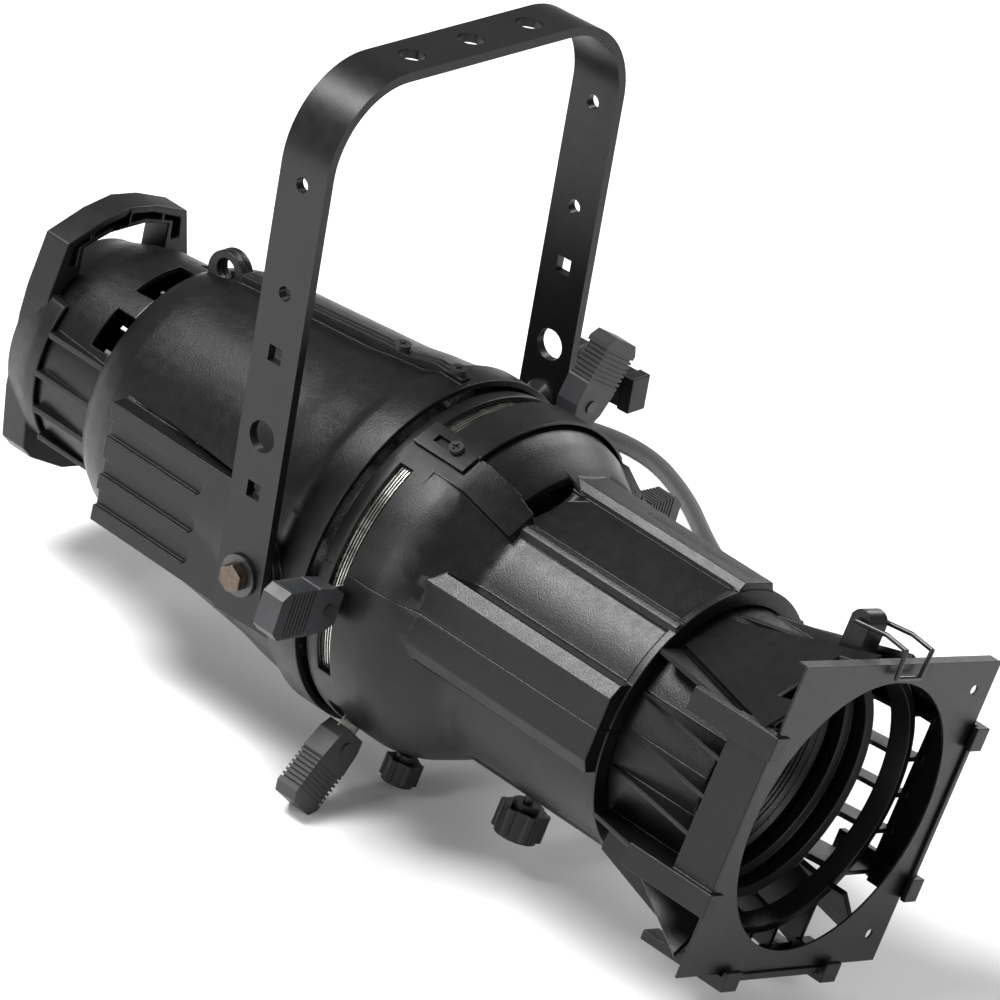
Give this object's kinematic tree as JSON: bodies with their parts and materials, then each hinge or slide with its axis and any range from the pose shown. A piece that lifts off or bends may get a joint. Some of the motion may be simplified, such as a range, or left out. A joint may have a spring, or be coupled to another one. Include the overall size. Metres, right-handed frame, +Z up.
{
  "type": "ellipsoidal spotlight",
  "caption": "Stage spotlight with a yoke, a two-part reflector housing, a rolling barrel with shutters, a sliding lens tube and a colour frame.",
  "frame": {"origin": "under the middle of the spotlight on the surface that it stands on, the free cord left out", "axes": "+Z up, -Y along the beam, +X to the right seen from behind the spotlight's beam end looking along +Y"},
  "size_m": [0.4784, 0.519, 0.3666],
  "materials": {
    "cast_black": "black powder coat",
    "screw_black": "black oxide",
    "reflector_glass": "faceted cold mirror",
    "steel_bright": "bright rolled",
    "bolt_bronze": "dark bronze plated",
    "washer_dark": "dark plated",
    "yoke_black": "satin paint",
    "gloss_black_steel": "gloss",
    "plastic_black": "moulded",
    "sheet_black": "black powder coat",
    "lens_glass": "polished",
    "wire_gloss_black": "gloss",
    "sink_alloy": "as cast",
    "ceramic": "glazed ceramic",
    "lamp_quartz": "clear",
    "filament": "tungsten",
    "rubber_black": "matt",
    "braid_grey": "glass-fibre braid",
    "brass_pin": "bright",
    "handle_grey": "ribbed phenolic"
  },
  "bodies": {
    "housing": {"housing_left": "cast_black", "housing_right": "cast_black", "housing_screws": "screw_black", "reflector": "reflector_glass", "reflector_ring": "steel_bright", "pivot_bolts": "bolt_bronze", "pivot_washers": "washer_dark"},
    "yoke": {"yoke": "yoke_black", "lock_bolt": "gloss_black_steel"},
    "lock_knob": {"lock_knob": "plastic_black"},
    "barrel": {"barrel_upper": "cast_black", "barrel_lower": "cast_black", "gate_rear_plate": "steel_bright", "gate_front_plate": "steel_bright", "shutter_guides": "steel_bright", "shutter_band": "steel_bright", "cover_screws": "screw_black"},
    "gate_cover": {"gate_cover": "sheet_black"},
    "rotation_knob": {"rotation_knob": "plastic_black"},
    "lens_tube": {"lens_tube": "cast_black", "lens_rear": "lens_glass", "lens_front": "lens_glass", "lens_rings": "sheet_black"},
    "focus_knob": {"focus_knob": "plastic_black", "focus_stud": "screw_black"},
    "colour_frame": {"colour_frame": "sheet_black"},
    "wire_latch": {"wire_latch": "wire_gloss_black"},
    "burner": {"rear_cap": "cast_black", "handle_ring": "plastic_black", "heat_sink": "sink_alloy", "lamp_base": "ceramic", "lamp_glass": "lamp_quartz", "lamp_filament": "filament", "strain_relief": "rubber_black", "power_cord": "braid_grey", "plug_body": "plastic_black", "plug_pins": "brass_pin"},
    "centring_knob": {"centring_knob": "plastic_black"},
    "shutter_top": {"blade_top": "steel_bright", "handle_top": "handle_grey", "rivet_top": "screw_black"},
    "shutter_right": {"blade_right": "steel_bright", "handle_right": "handle_grey", "rivet_right": "screw_black"},
    "shutter_bottom": {"blade_bottom": "steel_bright", "handle_bottom": "handle_grey", "rivet_bottom": "screw_black"},
    "shutter_left": {"blade_left": "steel_bright", "handle_left": "handle_grey", "rivet_left": "screw_black"}
  },
  "joints": [
    {"name": "yoke_tilt", "type": "hinge", "parent": "housing", "child": "yoke", "pos_m": [-0.00995, 0.0395, 0.11072], "axis": [1, 0, 0], "range_deg": [-72, 10]},
    {"name": "lock_knob_turn", "type": "hinge", "parent": "yoke", "child": "lock_knob", "pos_m": [0.10005, 0.04188, 0.15546], "axis": [1, 0, 0], "continuous": true},
    {"name": "barrel_roll", "type": "hinge", "parent": "housing", "child": "barrel", "pos_m": [-0.00995, -0.0105, 0.11072], "axis": [0, 1, 0], "range_deg": [-40, 10]},
    {"name": "rotation_knob_turn", "type": "hinge", "parent": "barrel", "child": "rotation_knob", "pos_m": [-0.0348, -0.0205, 0.01799], "axis": [-0.2588, 0, -0.9659], "continuous": true},
    {"name": "focus_slide", "type": "slide", "parent": "barrel", "child": "lens_tube", "axis": [0, 1, 0], "range_m": [-0.04, 0]},
    {"name": "focus_knob_turn", "type": "hinge", "parent": "lens_tube", "child": "focus_knob", "pos_m": [-0.02962, -0.0945, 0.03731], "axis": [-0.2588, 0, -0.9659], "continuous": true},
    {"name": "gate_cover_slide", "type": "slide", "parent": "barrel", "child": "gate_cover", "axis": [0, -1, 0], "range_m": [0, 0.011]},
    {"name": "colour_frame_lift", "type": "slide", "parent": "lens_tube", "child": "colour_frame", "axis": [0.2588, 0, 0.9659], "range_m": [0, 0.0025]},
    {"name": "wire_latch_turn", "type": "hinge", "parent": "lens_tube", "child": "wire_latch", "pos_m": [0.0127, -0.2275, 0.19524], "axis": [-0.9659, 0, 0.2588], "range_deg": [0, 110]},
    {"name": "burner_slide", "type": "slide", "parent": "housing", "child": "burner", "axis": [0, 1, 0], "range_m": [0, 0.12]},
    {"name": "centring_knob_turn", "type": "hinge", "parent": "burner", "child": "centring_knob", "pos_m": [-0.00995, 0.2515, 0.11072], "axis": [0, 1, 0], "continuous": true},
    {"name": "shutter_top_slide", "type": "slide", "parent": "barrel", "child": "shutter_top", "axis": [0.4695, 0, 0.8829], "range_m": [0, 0.02]},
    {"name": "shutter_right_slide", "type": "slide", "parent": "barrel", "child": "shutter_right", "axis": [0.9945, 0, -0.1045], "range_m": [-0.02, 0.01]},
    {"name": "shutter_bottom_slide", "type": "slide", "parent": "barrel", "child": "shutter_bottom", "axis": [-0.6691, 0, -0.7431], "range_m": [0, 0.03]},
    {"name": "shutter_left_slide", "type": "slide", "parent": "barrel", "child": "shutter_left", "axis": [-0.9877, 0, 0.1564], "range_m": [0, 0.03]}
  ]
}
